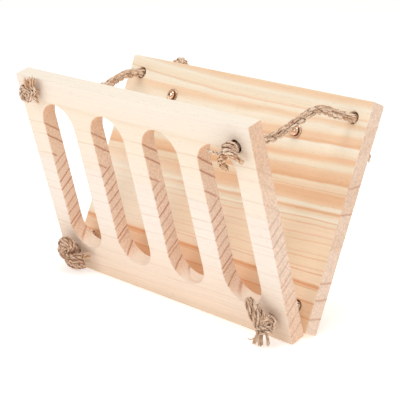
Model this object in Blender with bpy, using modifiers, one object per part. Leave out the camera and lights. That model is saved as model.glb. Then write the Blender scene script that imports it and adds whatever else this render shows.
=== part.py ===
"""V-shaped magazine rack: two pine boards laced together at their corners with jute rope.

X runs along the boards, Y from the slotted front board to the back board, Z up. The origin is on
the floor, in the middle of the wooden parts. Both boards stand on their outer bottom edges.
"""

import math

import bmesh
import bpy
from mathutils import Matrix, Vector

# Boards
BOARD_HEIGHT = 0.200
BOARD_THICKNESS = 0.015
BACK_LENGTH = 0.300
FRONT_LENGTH = 0.292
BACK_TILT = math.radians(23.3)
FRONT_TILT = math.radians(16.0)
EDGE_ROUND = 0.001
CREASE_GAP = 0.0009  # between the two inner bottom edges
SEAM_HEIGHT = 0.1185  # glue line of the front board, measured up the board
TOUCH_GAP = 0.0003

# Slots of the front board, from the board's own middle and bottom edge
SLOT_COUNT = 4
SLOT_WIDTH = 0.0427
SLOT_BOTTOM = 0.028
SLOT_TOP = 0.176
# The slots lean slightly: middle of the row and pitch, at their tops and at their bottoms
SLOT_ROW_TOP = (0.0037, 0.0670)
SLOT_ROW_BOTTOM = (0.0024, 0.0678)
SLOT_ARC_STEPS = 16

# Rope holes (x, height up the board); the front board's right end is flush with the back board's
FRONT_MIDDLE_X = (BACK_LENGTH - FRONT_LENGTH) / 2
HOLE_DIAMETER = 0.0105
HOLES = {
    "front_top_left": (FRONT_MIDDLE_X - 0.127, 0.184),
    "front_top_right": (FRONT_MIDDLE_X + 0.1278, 0.1806),
    "front_bottom_left": (FRONT_MIDDLE_X - 0.127, 0.020),
    "front_bottom_right": (FRONT_MIDDLE_X + 0.127, 0.020),
    "rear_top_left": (-0.1326, 0.1837),
    "rear_top_right": (0.1329, 0.1834),
    "rear_bottom_left": (-0.1356, 0.0186),
    "rear_bottom_right": (0.1318, 0.0195),
}
# How far a rope lies from the middle of its hole, where it is pulled to one side
ROPE_SHIFTS = {
    "front_top_right": (-0.0010, -0.0008),
    "rear_top_left": (-0.0006, -0.0002),
    "rear_top_right": (-0.0001, -0.0009),
}

# Rope
ROPE_DIAMETER = 0.007
ROPE_POINT_SPACING = 0.015
TAIL_POINT_SPACING = 0.007
KNOT_RINGS = 10
KNOT_SEGMENTS = 16

# Screws and washers of the back board
SCREW_PLACES = {"left": (-0.0822, 0.1684), "right": (0.0772, 0.1616)}
HEAD_RADIUS = 0.0046
HEAD_HEIGHT = 0.0030
SHANK_RADIUS = 0.0016
SHANK_LENGTH = 0.0115
PILOT_RADIUS = 0.0019
PILOT_DEPTH = 0.0125
WASHER_RADIUS = 0.0062
WASHER_HOLE_RADIUS = 0.0022
WASHER_THICKNESS = 0.0008
TURN_STEPS = 32

PINE = (0.86, 0.70, 0.50)
PINE_WARM = (0.85, 0.62, 0.40)
JUTE = (0.50, 0.40, 0.30)
ZINC_YELLOW = (0.82, 0.66, 0.36)


def top_reach(tilt):
    """How far a board's top outer edge stands out from its inner bottom edge."""
    return BOARD_HEIGHT * math.sin(tilt) + BOARD_THICKNESS * math.cos(tilt)


def inner_edge_height(tilt):
    """Height of the inner bottom edge when the eased outer bottom edge is on the floor."""
    middle_of_round = (1 - math.sqrt(0.5)) * (math.sin(tilt) + math.cos(tilt))
    return BOARD_THICKNESS * math.sin(tilt) - EDGE_ROUND * min(math.sin(tilt), middle_of_round)


CREASE_Y = (top_reach(FRONT_TILT) - top_reach(BACK_TILT)) / 2
FOLD_AXIS = Vector(
    (0, CREASE_Y, (inner_edge_height(FRONT_TILT) + inner_edge_height(BACK_TILT)) / 2)
)

# In a board's frame X is the length, Y the thickness (0 at the inner face) and Z up the board.
FRONT_FRAME = Matrix.Translation(
    (0, CREASE_Y - CREASE_GAP / 2, inner_edge_height(FRONT_TILT))
) @ Matrix.Rotation(FRONT_TILT, 4, "X")
BACK_FRAME = Matrix.Translation(
    (0, CREASE_Y + CREASE_GAP / 2, inner_edge_height(BACK_TILT))
) @ Matrix.Rotation(-BACK_TILT, 4, "X")


def on_board(side, x, height, out):
    """The world point at this height up a board; out is measured outwards from its outer face."""
    if side == "front":
        return FRONT_FRAME @ Vector((x, -BOARD_THICKNESS - out, height))
    return BACK_FRAME @ Vector((x, BOARD_THICKNESS + out, height))


# The free part of each rope, from the back board to the front board: (x, y from the crease, z)
ROPE_SPANS = {
    "top_left": [
        (-0.1332, 0.0630, 0.1752), (-0.1322, 0.0510, 0.1751), (-0.1308, 0.0390, 0.1727),
        (-0.1294, 0.0260, 0.1688), (-0.1278, 0.0100, 0.1660), (-0.1262, -0.0080, 0.1660),
        (-0.1248, -0.0250, 0.1696), (-0.1236, -0.0400, 0.1762),
    ],
    "top_right": [
        (0.1328, 0.0620, 0.1768), (0.1332, 0.0490, 0.1814), (0.1334, 0.0360, 0.1862),
        (0.1332, 0.0240, 0.1873), (0.1329, 0.0100, 0.1837), (0.1325, -0.0060, 0.1782),
        (0.1320, -0.0220, 0.1738), (0.1315, -0.0370, 0.1738),
    ],
    "bottom_left": [(-0.1300, 0.0035, 0.0268), (-0.1268, -0.0010, 0.0270)],
    "bottom_right": [(0.1326, 0.0035, 0.0268), (0.1318, -0.0010, 0.0270)],
}

# Knots: sizes along x, up the board and outwards, and how far the centre lies from the hole
KNOTS = {
    "front_top_left": ((0.018, 0.019, 0.015), (-0.001, 0.002)),
    "front_top_right": ((0.017, 0.014, 0.012), (0.000, 0.000)),
    "front_bottom_left": ((0.027, 0.027, 0.020), (-0.002, 0.001)),
    "front_bottom_right": ((0.021, 0.020, 0.015), (-0.001, -0.001)),
    "rear_top_left": ((0.018, 0.018, 0.015), (0.000, 0.001)),
    "rear_top_right": ((0.018, 0.018, 0.015), (0.000, -0.001)),
    "rear_bottom_left": ((0.020, 0.020, 0.016), (0.001, -0.001)),
    "rear_bottom_right": ((0.020, 0.020, 0.016), (-0.001, -0.001)),
}

# Tails past the knots: knot, diameters at root and tip, and points (x, height, out) on the board
TAILS = {
    "front_top_left_up": (
        "front_top_left", (0.0060, 0.0080),
        [(-0.122, 0.189, 0.0085), (-0.118, 0.196, 0.0075), (-0.114, 0.202, 0.0060)],
    ),
    "front_top_left_side": (
        "front_top_left", (0.0040, 0.0060),
        [(-0.118, 0.187, 0.0070), (-0.112, 0.188, 0.0055), (-0.107, 0.188, 0.0045)],
    ),
    "front_top_left_down": (
        "front_top_left", (0.0045, 0.0045),
        [(-0.119, 0.181, 0.0085), (-0.114, 0.179, 0.0065), (-0.108, 0.176, 0.0045)],
    ),
    "front_top_right_left": (
        "front_top_right", (0.0045, 0.0038),
        [(0.127, 0.179, 0.0060), (0.117, 0.176, 0.0050), (0.105, 0.174, 0.0040)],
    ),
    "front_top_right_down": (
        "front_top_right", (0.0045, 0.0050),
        [(0.128, 0.176, 0.0085), (0.119, 0.170, 0.0080), (0.117, 0.165, 0.0070),
         (0.121, 0.162, 0.0055)],
    ),
    "front_top_right_right": (
        "front_top_right", (0.0040, 0.0045),
        [(0.133, 0.177, 0.0075), (0.136, 0.174, 0.0060), (0.139, 0.170, 0.0045)],
    ),
    "front_bottom_left_low": (
        "front_bottom_left", (0.0070, 0.0075),
        [(-0.126, 0.011, 0.0130), (-0.117, 0.008, 0.0110), (-0.107, 0.009, 0.0070)],
    ),
    "front_bottom_left_side": (
        "front_bottom_left", (0.0050, 0.0065),
        [(-0.117, 0.019, 0.0080), (-0.108, 0.021, 0.0060), (-0.099, 0.023, 0.0048)],
    ),
    "front_bottom_right_fan": (
        "front_bottom_right", (0.0090, 0.0130),
        [(0.127, 0.022, 0.0100), (0.121, 0.031, 0.0095), (0.117, 0.041, 0.0080)],
    ),
    "front_bottom_right_foot_1": (
        "front_bottom_right", (0.0045, 0.0055),
        [(0.125, 0.0110, 0.0100), (0.126, 0.0087, 0.0160), (0.129, 0.0098, 0.0230)],
    ),
    "front_bottom_right_foot_2": (
        "front_bottom_right", (0.0045, 0.0055),
        [(0.131, 0.0100, 0.0110), (0.133, 0.0083, 0.0155), (0.1365, 0.0093, 0.0210)],
    ),
    "front_bottom_right_foot_3": (
        "front_bottom_right", (0.0035, 0.0045),
        [(0.136, 0.0110, 0.0090), (0.1395, 0.0072, 0.0125), (0.1425, 0.0076, 0.0165)],
    ),
    "rear_top_left": (
        "rear_top_left", (0.0070, 0.0085),
        [(-0.130, 0.192, 0.0110), (-0.121, 0.201, 0.0105), (-0.110, 0.207, 0.0090)],
    ),
    "rear_top_right": (
        "rear_top_right", (0.0070, 0.0090),
        [(0.132, 0.177, 0.0110), (0.131, 0.163, 0.0160), (0.129, 0.149, 0.0210)],
    ),
    "rear_bottom_left": (
        "rear_bottom_left", (0.0070, 0.0070),
        [(-0.131, 0.0140, 0.0130), (-0.126, 0.0146, 0.0220), (-0.119, 0.0172, 0.0300)],
    ),
    "rear_bottom_right": (
        "rear_bottom_right", (0.0070, 0.0070),
        [(0.131, 0.0140, 0.0130), (0.125, 0.0146, 0.0220), (0.116, 0.0172, 0.0300)],
    ),
}


def clear_scene():
    for obj in list(bpy.data.objects):
        bpy.data.objects.remove(obj, do_unlink=True)


def new_collection(name):
    collection = bpy.data.collections.new(name)
    bpy.context.scene.collection.children.link(collection)
    return collection


def new_material(name, colour, roughness, metallic=0.0):
    material = bpy.data.materials.new(name)
    material.use_nodes = True
    shader = material.node_tree.nodes["Principled BSDF"]
    shader.inputs["Base Color"].default_value = (*colour, 1)
    shader.inputs["Roughness"].default_value = roughness
    shader.inputs["Metallic"].default_value = metallic
    return material


clear_scene()
RACK = new_collection("magazine_rack")
CUTTERS = new_collection("cutters")
MATERIALS = {
    "pine": new_material("pine", PINE, 0.60),
    "pine_warm": new_material("pine_warm", PINE_WARM, 0.60),
    "jute": new_material("jute", JUTE, 0.95),
    "zinc_yellow": new_material("zinc_yellow", ZINC_YELLOW, 0.30, 1.0),
}


def add_object(name, data, collection, material=None):
    obj = bpy.data.objects.new(name, data)
    collection.objects.link(obj)
    if material:
        data.materials.append(MATERIALS[material])
    return obj


def add_mesh(name, bm, collection, material=None):
    bmesh.ops.recalc_face_normals(bm, faces=bm.faces)
    mesh = bpy.data.meshes.new(name)
    bm.to_mesh(mesh)
    bm.free()
    return add_object(name, mesh, collection, material)


def shade_round(mesh):
    mesh.shade_smooth()
    mesh.set_sharp_from_angle(angle=math.radians(40))


def as_cutter(obj):
    obj.hide_render = True
    obj.display_type = "WIRE"
    return obj


def cut(obj, cutter):
    modifier = obj.modifiers.new("cut_" + cutter.name, "BOOLEAN")
    modifier.operation = "DIFFERENCE"
    modifier.solver = "EXACT"
    modifier.object = cutter


def to_mesh_object(obj, collection):
    """Replaces a curve object by the mesh that it makes, with its caps welded on."""
    bpy.context.view_layer.update()
    graph = bpy.context.evaluated_depsgraph_get()
    mesh = bpy.data.meshes.new_from_object(obj.evaluated_get(graph))
    bm = bmesh.new()
    bm.from_mesh(mesh)
    bmesh.ops.remove_doubles(bm, verts=bm.verts, dist=1e-6)
    bmesh.ops.recalc_face_normals(bm, faces=bm.faces)
    bm.to_mesh(mesh)
    bm.free()
    name, place = obj.name, obj.matrix_world.copy()
    bpy.data.objects.remove(obj, do_unlink=True)
    made = bpy.data.objects.new(name, mesh)
    made.matrix_world = place
    collection.objects.link(made)
    return made


def cylinder_cutter(name, frame, radius, y_from, y_to, segments=24):
    """A cylinder along the frame's Y axis."""
    bm = bmesh.new()
    turn = Matrix.Translation((0, (y_from + y_to) / 2, 0)) @ Matrix.Rotation(
        math.radians(90), 4, "X"
    )
    bmesh.ops.create_cone(
        bm, cap_ends=True, segments=segments, radius1=radius, radius2=radius,
        depth=abs(y_to - y_from), matrix=turn,
    )
    cutter = add_mesh(name, bm, CUTTERS)
    cutter.matrix_world = frame
    return as_cutter(cutter)


def slot_cutter(index):
    """A prism with round ends that passes right through the front board."""
    radius = SLOT_WIDTH / 2
    ends = ((SLOT_ROW_TOP, SLOT_TOP - radius, 0), (SLOT_ROW_BOTTOM, SLOT_BOTTOM + radius, math.pi))
    outline = []
    for (middle, pitch), height, start in ends:
        x = middle + pitch * (index - (SLOT_COUNT - 1) / 2)
        for step in range(SLOT_ARC_STEPS + 1):
            angle = start + math.pi * step / SLOT_ARC_STEPS
            outline.append((x + radius * math.cos(angle), height + radius * math.sin(angle)))
    curve = bpy.data.curves.new(f"slot_cutter_{index + 1}", "CURVE")
    curve.dimensions = "2D"
    curve.fill_mode = "BOTH"
    curve.extrude = BOARD_THICKNESS
    spline = curve.splines.new("POLY")
    spline.points.add(len(outline) - 1)
    for point, (x, height) in zip(spline.points, outline):
        point.co = (x, height, 0, 1)
    spline.use_cyclic_u = True
    obj = add_object(curve.name, curve, CUTTERS)
    upright = Matrix.Rotation(math.radians(90), 4, "X")
    obj.matrix_world = FRONT_FRAME @ Matrix.Translation((0, -BOARD_THICKNESS / 2, 0)) @ upright
    return as_cutter(to_mesh_object(obj, CUTTERS))


def plank(name, frame, middle_x, length, y_inner, y_outer, bottom, top, material):
    """A box in a board's frame. Its edges are eased, except those along a glue line."""
    low, high = min(y_inner, y_outer), max(y_inner, y_outer)
    bm = bmesh.new()
    size = Matrix.Diagonal((length, high - low, top - bottom, 1))
    place = Matrix.Translation((middle_x, (low + high) / 2, (bottom + top) / 2))
    bmesh.ops.create_cube(bm, size=1, matrix=place @ size)

    def on_glue_line(edge):
        return any(
            all(abs(vert.co.z - glued) < TOUCH_GAP for vert in edge.verts)
            for glued in (bottom, top)
            if 0 < glued < BOARD_HEIGHT
        )

    eased = [edge for edge in bm.edges if not on_glue_line(edge)]
    bmesh.ops.bevel(
        bm, geom=eased, offset=EDGE_ROUND, offset_type="OFFSET", segments=2, profile=0.5,
        affect="EDGES", clamp_overlap=True,
    )
    obj = add_mesh(name, bm, RACK, material)
    obj.matrix_world = frame
    return obj


def make_back_board():
    board = plank(
        "back_board", BACK_FRAME, 0, BACK_LENGTH, 0, BOARD_THICKNESS, 0, BOARD_HEIGHT,
        "pine_warm",
    )
    for name, (x, height) in HOLES.items():
        if name.startswith("rear"):
            frame = BACK_FRAME @ Matrix.Translation((x, 0, height))
            cut(board, cylinder_cutter(
                "hole_" + name, frame, HOLE_DIAMETER / 2, -0.005, BOARD_THICKNESS + 0.005
            ))
    for side, (x, height) in SCREW_PLACES.items():
        frame = BACK_FRAME @ Matrix.Translation((x, 0, height))
        cut(board, cylinder_cutter(
            "pilot_" + side, frame, PILOT_RADIUS, -0.005, PILOT_DEPTH, segments=16
        ))
    return [board]


def make_front_board():
    joint = SEAM_HEIGHT
    spans = {
        "front_plank_lower": (0, joint - TOUCH_GAP / 2),
        "front_plank_upper": (joint + TOUCH_GAP / 2, BOARD_HEIGHT),
    }
    slots = [slot_cutter(index) for index in range(SLOT_COUNT)]
    planks = []
    for name, (bottom, top) in spans.items():
        board = plank(
            name, FRONT_FRAME, FRONT_MIDDLE_X, FRONT_LENGTH, 0, -BOARD_THICKNESS,
            bottom, top, "pine",
        )
        for cutter in slots:
            cut(board, cutter)
        for hole, (x, height) in HOLES.items():
            if hole.startswith("front") and bottom < height < top:
                frame = FRONT_FRAME @ Matrix.Translation((x, 0, height))
                cut(board, cylinder_cutter(
                    "hole_" + hole, frame, HOLE_DIAMETER / 2, 0.005,
                    -BOARD_THICKNESS - 0.005,
                ))
        planks.append(board)
    return planks


def turned(name, profile, closed, material):
    """A profile (radius, height) turned about Z; it runs down the outer side."""
    mesh = bpy.data.meshes.new(name)
    edges = [(i, i + 1) for i in range(len(profile) - 1)]
    if closed:
        edges.append((len(profile) - 1, 0))
    mesh.from_pydata([(radius, 0, height) for radius, height in profile], edges, [])
    obj = add_object(name, mesh, RACK, material)
    screw = obj.modifiers.new("turn", "SCREW")
    screw.axis = "Z"
    screw.steps = screw.render_steps = TURN_STEPS
    screw.use_merge_vertices = True
    screw.merge_threshold = 1e-5
    return obj


def make_fixings():
    """Round-head screws with washers on the back board's inner face."""
    made = []
    washer_top = TOUCH_GAP + WASHER_THICKNESS
    head_base = washer_top + TOUCH_GAP
    dome = [
        (HEAD_RADIUS * math.sin(angle), head_base + HEAD_HEIGHT * math.cos(angle))
        for angle in (math.radians(90) * step / 6 for step in range(7))
    ]
    screw_profile = dome + [
        (SHANK_RADIUS, head_base),
        (SHANK_RADIUS, head_base - SHANK_LENGTH + SHANK_RADIUS),
        (0, head_base - SHANK_LENGTH),
    ]
    washer_profile = [
        (WASHER_RADIUS, washer_top), (WASHER_RADIUS, TOUCH_GAP),
        (WASHER_HOLE_RADIUS, TOUCH_GAP), (WASHER_HOLE_RADIUS, washer_top),
    ]
    into_room = Matrix.Rotation(math.radians(90), 4, "X")
    for side, (x, height) in SCREW_PLACES.items():
        place = BACK_FRAME @ Matrix.Translation((x, 0, height)) @ into_room
        for name, profile, closed in (
            ("screw_" + side, screw_profile, False),
            ("washer_" + side, washer_profile, True),
        ):
            piece = turned(name, profile, closed, "zinc_yellow")
            piece.matrix_world = place
            made.append(piece)
    return made


def smooth_line(points, spacing):
    """Evenly spaced points on a smooth curve (Catmull-Rom) through the given points."""
    ends = [2 * points[0] - points[1]] + list(points) + [2 * points[-1] - points[-2]]
    fine = []
    for a, b, c, d in zip(ends, ends[1:], ends[2:], ends[3:]):
        for step in range(12):
            t = step / 12
            fine.append(0.5 * (
                2 * b + (c - a) * t + (2 * a - 5 * b + 4 * c - d) * t * t
                + (3 * b - a - 3 * c + d) * t * t * t
            ))
    fine.append(points[-1])
    along = [0.0]
    for a, b in zip(fine, fine[1:]):
        along.append(along[-1] + (b - a).length)
    count = max(3, round(along[-1] / spacing) + 1)
    line, at = [], 0
    for index in range(count):
        target = along[-1] * index / (count - 1)
        while at < len(fine) - 2 and along[at + 1] < target:
            at += 1
        part = (target - along[at]) / max(along[at + 1] - along[at], 1e-9)
        line.append(fine[at].lerp(fine[at + 1], min(part, 1.0)))
    return line


def tube(name, points, diameters, material, spacing):
    """A round tube with closed ends along a smooth curve, tapering between two diameters."""
    curve = bpy.data.curves.new(name, "CURVE")
    curve.dimensions = "3D"
    curve.bevel_depth = diameters[0] / 2
    curve.bevel_resolution = 2
    curve.use_fill_caps = True
    spline = curve.splines.new("POLY")
    line = smooth_line(points, spacing)
    spline.points.add(len(line) - 1)
    for index, (point, place) in enumerate(zip(spline.points, line)):
        point.co = (*place, 1)
        share = index / (len(line) - 1)
        point.radius = 1 + share * (diameters[1] / diameters[0] - 1)
    obj = add_object(name, curve, RACK, material)
    return obj


def rope_at(hole):
    """Where a rope crosses its hole: x and height up the board."""
    (x, height), (shift_x, shift_up) = HOLES[hole], ROPE_SHIFTS.get(hole, (0, 0))
    return x + shift_x, height + shift_up


def make_rope(place):
    """One rope, from the mouth of its hole at the rear to the mouth of its hole at the front."""
    rear_x, rear_height = rope_at("rear_" + place)
    front_x, front_height = rope_at("front_" + place)
    span = [Vector(point) + Vector((0, CREASE_Y, 0)) for point in ROPE_SPANS[place]]
    route = [
        on_board("rear", rear_x, rear_height, 0),
        on_board("rear", rear_x, rear_height, -BOARD_THICKNESS),
        *span,
        on_board("front", front_x, front_height, -BOARD_THICKNESS),
        on_board("front", front_x, front_height, 0),
    ]
    spacing = ROPE_POINT_SPACING if place.startswith("top") else ROPE_DIAMETER
    return tube("rope_" + place, route, (ROPE_DIAMETER, ROPE_DIAMETER), "jute", spacing)


def knot_centre(place):
    (_, _, depth), (shift_x, shift_up) = KNOTS[place]
    x, height = HOLES[place]
    return (x + shift_x, height + shift_up, depth / 2 + 2 * TOUCH_GAP)


def knot_frame(place):
    side = "front" if place.startswith("front") else "rear"
    frame = FRONT_FRAME if side == "front" else BACK_FRAME
    spot = on_board(side, *knot_centre(place))
    return Matrix.Translation(spot) @ frame.to_3x3().to_4x4()


def make_knot(place, grow=0.0, cutter=False):
    """The outer shape of a stopper knot; grow makes the same shape larger, to cut with."""
    (width, tall, depth), _ = KNOTS[place]
    bm = bmesh.new()
    size = Matrix.Diagonal((width / 2 + grow, depth / 2 + grow, tall / 2 + grow, 1))
    bmesh.ops.create_uvsphere(
        bm, u_segments=KNOT_SEGMENTS, v_segments=KNOT_RINGS, radius=1, matrix=size
    )
    if cutter:
        obj = as_cutter(add_mesh("around_knot_" + place, bm, CUTTERS))
    else:
        obj = add_mesh("knot_" + place, bm, RACK, "jute")
        shade_round(obj.data)
    obj.matrix_world = knot_frame(place)
    return obj


def make_tail(name, around_knots):
    """A loose rope end past a knot, cut off where it meets the knot."""
    place, diameters, points = TAILS[name]
    side = "front" if place.startswith("front") else "rear"
    route = [on_board(side, *point) for point in points]
    curve = tube("tail_" + name, route, diameters, "jute", TAIL_POINT_SPACING)
    obj = to_mesh_object(curve, RACK)
    obj.data.materials.clear()
    obj.data.materials.append(MATERIALS["jute"])
    shade_round(obj.data)
    cut(obj, around_knots[place])
    return obj


def main():
    back, front = make_back_board(), make_front_board()
    back += make_fixings()
    back += [make_rope(place) for place in ROPE_SPANS]
    around_knots = {
        place: make_knot(place, grow=TOUCH_GAP, cutter=True) for place in KNOTS
    }
    for place in KNOTS:
        (front if place.startswith("front") else back).append(make_knot(place))
    for name in TAILS:
        tail = make_tail(name, around_knots)
        (front if name.startswith("front") else back).append(tail)

    fold = add_object("fold_axis", None, RACK)
    fold.location = FOLD_AXIS
    bpy.context.view_layer.update()
    for obj in front:
        obj.parent = fold
        obj.matrix_parent_inverse = fold.matrix_world.inverted()


main()
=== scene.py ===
"""V-shaped magazine rack: two pine boards laced together with jute rope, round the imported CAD.

Lengths are in metres. A board's own frame has X along it, Y through its thickness (0 at the inner
face) and Z up it. A place on a board is (x, height up the board, distance out of its outer face).
"""

import math

import bmesh
import bpy
import numpy as np
from mathutils import Matrix, Vector


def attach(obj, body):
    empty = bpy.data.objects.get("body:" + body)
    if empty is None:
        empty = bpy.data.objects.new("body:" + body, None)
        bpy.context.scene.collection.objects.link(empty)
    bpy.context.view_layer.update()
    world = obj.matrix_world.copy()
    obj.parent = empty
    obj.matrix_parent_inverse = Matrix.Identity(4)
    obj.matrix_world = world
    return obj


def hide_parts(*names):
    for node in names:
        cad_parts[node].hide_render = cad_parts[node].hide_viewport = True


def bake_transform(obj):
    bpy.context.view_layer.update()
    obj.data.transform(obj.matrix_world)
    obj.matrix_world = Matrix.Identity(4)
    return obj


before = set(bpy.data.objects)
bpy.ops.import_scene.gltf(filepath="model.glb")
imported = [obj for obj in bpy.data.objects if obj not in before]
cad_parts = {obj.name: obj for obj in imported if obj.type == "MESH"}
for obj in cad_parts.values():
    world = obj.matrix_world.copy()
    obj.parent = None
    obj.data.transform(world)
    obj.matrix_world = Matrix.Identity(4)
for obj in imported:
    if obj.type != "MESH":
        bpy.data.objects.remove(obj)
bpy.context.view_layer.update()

MM = 0.001
TURN = 2 * math.pi
scene = bpy.context.scene

# --- sizes, as in the CAD
BOARD_HEIGHT = 0.200
BOARD_THICKNESS = 0.015
BACK_LENGTH = 0.300
FRONT_LENGTH = 0.292
FRONT_MIDDLE_X = 0.004
BACK_TILT = math.radians(23.3)
FRONT_TILT = math.radians(16.0)
CREASE_Y = -0.01167
CREASE_GAP = 0.0009
INNER_EDGE_HEIGHT = {"front": 0.003859, "back": 0.005548}
SEAM_HEIGHT = 0.1185
SEAM_GAP = 0.00012
SLOT_WIDTH = 0.0427
SLOT_BOTTOM = 0.028
SLOT_TOP = 0.176
SLOT_ROW_TOP = (0.0037, 0.0670)
SLOT_ROW_BOTTOM = (0.0024, 0.0678)
HOLE_DIAMETER = 0.0105
ROPE_DIAMETER = 0.007
HOLES = {
    "front_top_left": (-0.123, 0.184),
    "front_top_right": (0.1318, 0.1806),
    "front_bottom_left": (-0.123, 0.020),
    "front_bottom_right": (0.131, 0.020),
    "rear_top_left": (-0.1326, 0.1837),
    "rear_top_right": (0.1329, 0.1834),
    "rear_bottom_left": (-0.1356, 0.0186),
    "rear_bottom_right": (0.1318, 0.0195),
}
ROPE_SHIFTS = {
    "front_top_right": (-0.0010, -0.0008),
    "rear_top_left": (-0.0006, -0.0002),
    "rear_top_right": (-0.0001, -0.0009),
}
SCREW_PLACES = {"left": (-0.0822, 0.1684), "right": (0.0772, 0.1616)}
TOUCH_GAP = 0.0003
HEAD_RADIUS = 0.0046
HEAD_HEIGHT = 0.0030
SHANK_RADIUS = 0.0016
SHANK_LENGTH = 0.0115
WASHER_RADIUS = 0.0062
WASHER_HOLE_RADIUS = 0.0022
WASHER_THICKNESS = 0.0008

FRAMES = {
    "front": Matrix.Translation(
        (0, CREASE_Y - CREASE_GAP / 2, INNER_EDGE_HEIGHT["front"])
    ) @ Matrix.Rotation(FRONT_TILT, 4, "X"),
    "back": Matrix.Translation(
        (0, CREASE_Y + CREASE_GAP / 2, INNER_EDGE_HEIGHT["back"])
    ) @ Matrix.Rotation(-BACK_TILT, 4, "X"),
}


def side_of(place):
    return "front" if place.startswith("front") else "back"


def on_board(side, x, height, out):
    """The world point at a place on a board."""
    through = BOARD_THICKNESS + out
    return FRAMES[side] @ Vector((x, -through if side == "front" else through, height))


def add_object(name, data):
    obj = bpy.data.objects.new(name, data)
    scene.collection.objects.link(obj)
    return obj


def evaluated_mesh(obj):
    """A new mesh of the object with its modifiers or curve settings applied."""
    bpy.context.view_layer.update()
    graph = bpy.context.evaluated_depsgraph_get()
    return bpy.data.meshes.new_from_object(obj.evaluated_get(graph))


def save_mesh(bm, mesh):
    bm.to_mesh(mesh)
    bm.free()
    return mesh


def dress(mesh, material, crease):
    """One material, smooth up to an angle between faces."""
    mesh.materials.clear()
    mesh.materials.append(material)
    mesh.shade_smooth()
    mesh.set_sharp_from_angle(angle=crease)


# --- camera
CAMERA_PLACE = (0.84199, -0.79699, 0.43102)
CAMERA_DOWN = math.radians(16.55)
CAMERA_TURN = math.radians(46.13)
CAMERA_LENS = 122.43
CAMERA_REACH = 50
camera_data = bpy.data.cameras.new("camera")
camera_data.lens = CAMERA_LENS
camera_data.clip_end = CAMERA_REACH
camera = add_object("camera", camera_data)
camera.location = CAMERA_PLACE
camera.rotation_euler = (math.radians(90) - CAMERA_DOWN, 0, CAMERA_TURN)
scene.camera = camera

# --- rope building


def wander(count, seed, waves=4):
    """A smooth wandering row of numbers, about -1 to 1."""
    rng = np.random.default_rng(seed)
    at = np.linspace(0, 1, count)
    total = np.zeros(count)
    for wave in range(1, waves + 1):
        total += rng.normal() / wave * np.sin(TURN * (wave * at + rng.random()))
    return total / 1.5


CURVE_POINTS = 24


def smooth_line(points, step):
    """Evenly spaced points on a smooth curve (Catmull-Rom) through the given points."""
    given = np.array([tuple(point) for point in points], float)
    ends = np.vstack([2 * given[0] - given[1], given, 2 * given[-1] - given[-2]])
    a, b, c, d = ends[:-3], ends[1:-2], ends[2:-1], ends[3:]
    t = np.linspace(0, 1, CURVE_POINTS, endpoint=False)[None, :, None]
    a, b, c, d = (part[:, None, :] for part in (a, b, c, d))
    fine = 0.5 * (
        2 * b + (c - a) * t + (2 * a - 5 * b + 4 * c - d) * t**2
        + (3 * b - a - 3 * c + d) * t**3
    )
    fine = np.vstack([fine.reshape(-1, 3), given[-1:]])
    along = np.concatenate([[0], np.cumsum(np.linalg.norm(np.diff(fine, axis=0), axis=1))])
    count = max(4, int(round(along[-1] / step)) + 1)
    places = np.linspace(0, along[-1], count)
    return np.column_stack([np.interp(places, along, fine[:, axis]) for axis in range(3)])


def arc_lengths(path):
    steps = np.linalg.norm(np.diff(path, axis=0), axis=1)
    return np.concatenate([[0], np.cumsum(steps)])


def carried_frames(path):
    """Tangents and two normals along a path, carried along without twist."""
    tangents = np.gradient(path, axis=0)
    tangents /= np.linalg.norm(tangents, axis=1)[:, None] + 1e-12
    start = np.cross(tangents[0], (0.31, 0.22, 0.93))
    normals = np.empty_like(path)
    normals[0] = start / np.linalg.norm(start)
    for i in range(1, len(path)):
        carried = normals[i - 1] - tangents[i] * normals[i - 1].dot(tangents[i])
        normals[i] = carried / (np.linalg.norm(carried) + 1e-12)
    return tangents, normals, np.cross(tangents, normals)


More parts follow.
